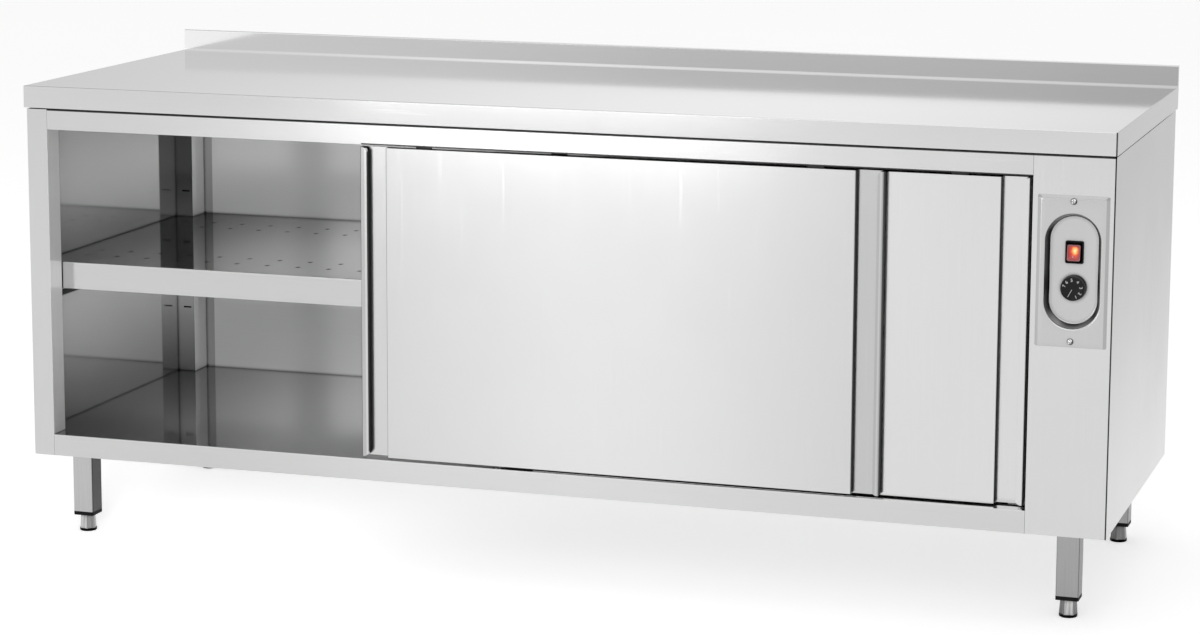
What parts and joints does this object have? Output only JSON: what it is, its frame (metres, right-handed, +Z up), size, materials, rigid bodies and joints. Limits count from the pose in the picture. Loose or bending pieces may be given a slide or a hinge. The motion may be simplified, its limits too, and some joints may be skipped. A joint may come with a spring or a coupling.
{
  "type": "plate warmer cabinet",
  "caption": "Free-standing steel plate warming cupboard with bypass sliding doors, a lift-out perforated shelf, an upstand worktop, a fan heater and levelling feet.",
  "frame": {"origin": "on the floor, under the middle of the worktop", "axes": "+X to the right along the worktop, +Y to the back, +Z up; the doors are at the front, -Y"},
  "size_m": [2, 0.7, 0.89],
  "materials": {
    "stainless_satin": "satin",
    "stainless_inner": "bright",
    "galvanised_steel": "galvanised",
    "zinc_screws": "zinc plated",
    "aluminium_profile": "mill",
    "black_plastic": "matte",
    "rubber_stops": "matte",
    "door_filling": "felted mineral wool",
    "red_lens": "translucent",
    "knob_plastic": "satin",
    "heater_sheath": "heat tinted",
    "terminal_plastic": "matte",
    "motor_paint": "satin",
    "loom_sleeve": "braided",
    "roller_plastic": "smooth"
  },
  "bodies": {
    "cabinet": {"worktop": "stainless_satin", "worktop_stiffeners": "galvanised_steel", "top_rail": "stainless_satin", "ceiling_panel": "stainless_inner", "bottom_panel": "stainless_satin", "left_jamb": "stainless_satin", "left_side_panel": "stainless_satin", "right_side_panel": "stainless_satin", "rear_left_post": "stainless_inner", "rear_right_post": "stainless_inner", "front_right_post": "stainless_inner", "back_panel": "stainless_satin", "service_cover": "stainless_satin", "control_casing": "stainless_satin", "inner_partition": "stainless_inner", "door_track": "aluminium_profile", "track_end_stops": "rubber_stops", "door_floor_guide": "black_plastic", "shelf_support_left": "stainless_inner", "shelf_support_right": "stainless_inner", "leg_studs": "zinc_screws", "leg_inserts": "black_plastic", "panel_screws": "zinc_screws", "control_plate": "stainless_satin", "control_plate_screws": "zinc_screws", "switch_housing": "black_plastic", "thermostat_body": "terminal_plastic", "thermostat_sensor": "stainless_inner", "heater_box": "galvanised_steel", "heating_element": "heater_sheath", "fan_motor": "motor_paint", "overheat_limiter": "black_plastic", "terminal_block": "terminal_plastic", "cable_gland": "black_plastic", "wiring": "loom_sleeve", "front_left_leg": "stainless_satin", "front_right_leg": "stainless_satin", "rear_left_leg": "stainless_satin", "rear_right_leg": "stainless_satin"},
    "front_door": {"front_door_panel": "stainless_satin", "front_door_back": "stainless_satin", "front_door_core": "door_filling", "front_door_hangers": "zinc_screws"},
    "front_roller_left": {"front_door_roller_left": "roller_plastic"},
    "front_left_foot": {"front_left_levelling_foot": "zinc_screws"},
    "front_roller_right": {"front_door_roller_right": "roller_plastic"},
    "front_right_foot": {"front_right_levelling_foot": "zinc_screws"},
    "rear_door": {"rear_door_panel": "stainless_satin", "rear_door_back": "stainless_satin", "rear_door_core": "door_filling", "rear_door_hangers": "zinc_screws"},
    "rear_roller_left": {"rear_door_roller_left": "roller_plastic"},
    "rear_left_foot": {"rear_left_levelling_foot": "zinc_screws"},
    "rear_roller_right": {"rear_door_roller_right": "roller_plastic"},
    "rear_right_foot": {"rear_right_levelling_foot": "zinc_screws"},
    "rocker": {"power_rocker": "red_lens"},
    "knob": {"thermostat_knob": "knob_plastic", "thermostat_spindle": "zinc_screws"},
    "impeller": {"fan_impeller": "galvanised_steel"},
    "lift_out_shelf": {"shelf": "stainless_satin"}
  },
  "joints": [
    {"name": "front_door_slide", "type": "slide", "parent": "cabinet", "child": "front_door", "axis": [1, 0, 0], "range_m": [-0.612, 0.25]},
    {"name": "front_roller_left_turn", "type": "hinge", "parent": "front_door", "child": "front_roller_left", "pos_m": [-0.223, -0.3279, 0.7891], "axis": [0, 1, 0], "continuous": true},
    {"name": "front_roller_right_turn", "type": "hinge", "parent": "front_door", "child": "front_roller_right", "pos_m": [0.487, -0.3279, 0.7891], "axis": [0, 1, 0], "continuous": true},
    {"name": "rear_door_slide", "type": "slide", "parent": "cabinet", "child": "rear_door", "axis": [1, 0, 0], "range_m": [-0.857, 0.005]},
    {"name": "rear_roller_left_turn", "type": "hinge", "parent": "rear_door", "child": "rear_roller_left", "pos_m": [0.022, -0.3084, 0.7871], "axis": [0, 1, 0], "continuous": true},
    {"name": "rear_roller_right_turn", "type": "hinge", "parent": "rear_door", "child": "rear_roller_right", "pos_m": [0.732, -0.3084, 0.7871], "axis": [0, 1, 0], "continuous": true},
    {"name": "rocker_tilt", "type": "hinge", "parent": "cabinet", "child": "rocker", "pos_m": [0.929, -0.322, 0.643], "axis": [1, 0, 0], "range_deg": [0, 18]},
    {"name": "knob_turn", "type": "hinge", "parent": "cabinet", "child": "knob", "pos_m": [0.929, -0.33, 0.583], "axis": [0, 1, 0], "range_deg": [0, 270]},
    {"name": "impeller_spin", "type": "hinge", "parent": "cabinet", "child": "impeller", "pos_m": [0.88, -0.0015, 0.335], "axis": [1, 0, 0], "continuous": true},
    {"name": "shelf_lift", "type": "slide", "parent": "cabinet", "child": "lift_out_shelf", "axis": [0, 0, 1], "range_m": [0, 0.05]},
    {"name": "front_left_foot_screw", "type": "slide", "parent": "cabinet", "child": "front_left_foot", "axis": [0, 0, 1], "range_m": [-0.02, 0]},
    {"name": "front_right_foot_screw", "type": "slide", "parent": "cabinet", "child": "front_right_foot", "axis": [0, 0, 1], "range_m": [-0.02, 0]},
    {"name": "rear_left_foot_screw", "type": "slide", "parent": "cabinet", "child": "rear_left_foot", "axis": [0, 0, 1], "range_m": [-0.02, 0]},
    {"name": "rear_right_foot_screw", "type": "slide", "parent": "cabinet", "child": "rear_right_foot", "axis": [0, 0, 1], "range_m": [-0.02, 0]}
  ],
  "couplings": [
    {"joint": "front_roller_left_turn", "follows": "front_door_slide", "rad_per_m": 90.909},
    {"joint": "front_roller_right_turn", "follows": "front_door_slide", "rad_per_m": 90.909},
    {"joint": "rear_roller_left_turn", "follows": "rear_door_slide", "rad_per_m": 90.909},
    {"joint": "rear_roller_right_turn", "follows": "rear_door_slide", "rad_per_m": 90.909}
  ]
}
